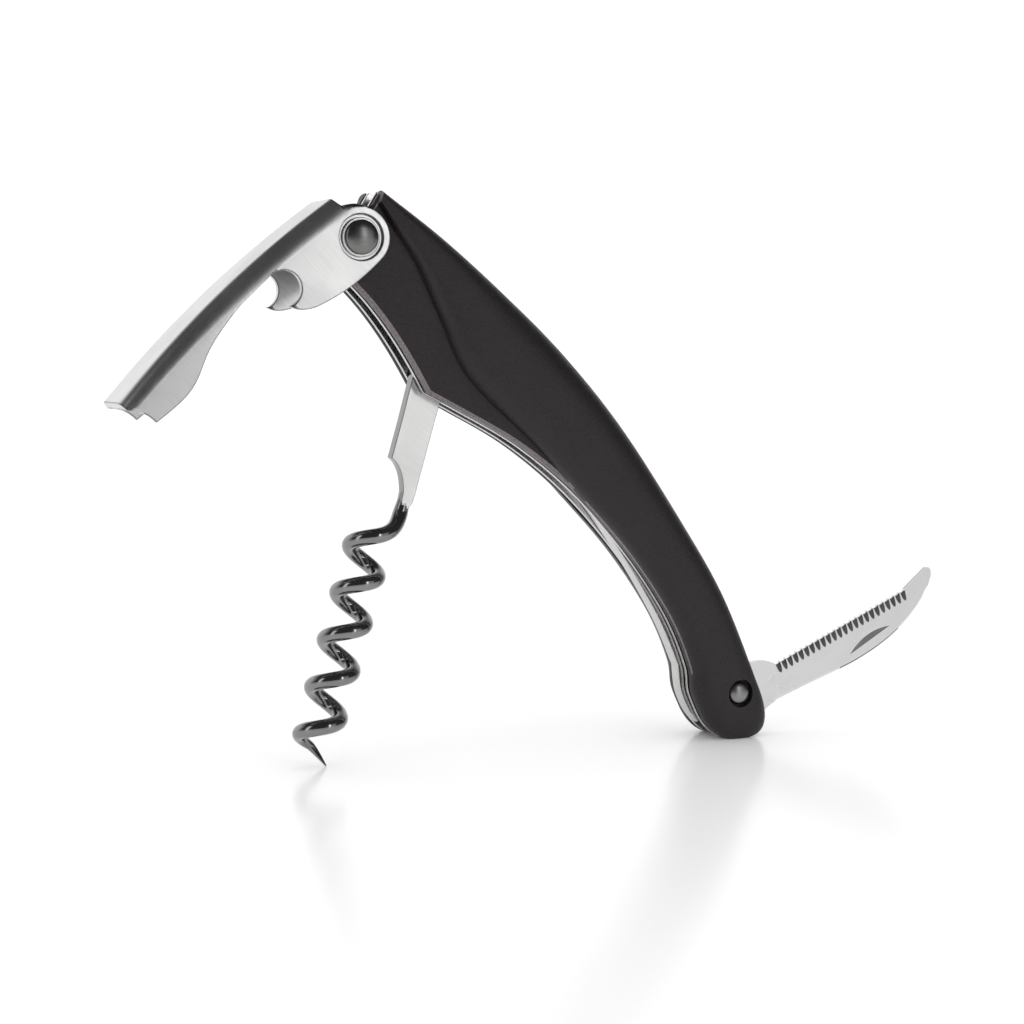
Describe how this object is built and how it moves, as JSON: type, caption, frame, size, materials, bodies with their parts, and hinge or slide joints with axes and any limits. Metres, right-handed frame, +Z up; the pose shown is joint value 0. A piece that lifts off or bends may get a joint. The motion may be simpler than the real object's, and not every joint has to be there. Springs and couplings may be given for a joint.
{
  "type": "lever corkscrew",
  "caption": "Folding lever corkscrew with a black arched handle, steel lever with a cap-lifter notch, wire worm and serrated foil knife.",
  "frame": {"origin": "under the middle of the tool's box, on the surface it stands on", "axes": "+Z up, +X from the lever's foot towards the knife, Y through the thickness with the front at -Y"},
  "size_m": [0.1588, 0.0164, 0.0975],
  "materials": {
    "black_scale": "soft-touch matt black moulding with a faint grain",
    "brushed_steel": "brushed stainless steel, fine diagonal grain",
    "satin_blade": "satin ground blade steel",
    "dark_polished": "polished darkened steel",
    "plain_steel": "plain rolled steel sheet and pins",
    "black_nylon": "matt black nylon"
  },
  "bodies": {
    "handle": {"front_scale": "black_scale", "rear_scale": "black_scale", "front_liner": "plain_steel", "rear_liner": "plain_steel", "back_spring": "plain_steel", "spring_pin": "plain_steel", "spine_spacer": "black_nylon", "head_spacer_pin": "plain_steel", "mid_spacer_pin": "plain_steel", "lever_rivet": "dark_polished", "lever_bush": "plain_steel", "front_rivet_ring": "brushed_steel", "rear_rivet_ring": "brushed_steel", "front_lever_washer": "plain_steel", "rear_lever_washer": "plain_steel", "worm_pin": "plain_steel", "knife_rivet": "dark_polished", "front_knife_washer": "plain_steel", "rear_knife_washer": "plain_steel"},
    "lever": {"lever": "brushed_steel"},
    "worm": {"worm": "dark_polished"},
    "knife": {"knife_blade": "satin_blade"}
  },
  "joints": [
    {"name": "lever_fold", "type": "hinge", "parent": "handle", "child": "lever", "pos_m": [-0.03885, 0, 0.08955], "axis": [0, -1, 0], "range_deg": [-54, 84]},
    {"name": "worm_fold", "type": "hinge", "parent": "handle", "child": "worm", "pos_m": [-0.02381, 0, 0.0683], "axis": [0, -1, 0], "range_deg": [-35.1, 54.6]},
    {"name": "knife_fold", "type": "hinge", "parent": "handle", "child": "knife", "pos_m": [0.03425, 0, 0.0085], "axis": [0, -1, 0], "range_deg": [-86, 93]}
  ],
  "couplings": [
    {"joint": "worm_fold", "follows": "lever_fold", "ratio": 0.648}
  ]
}
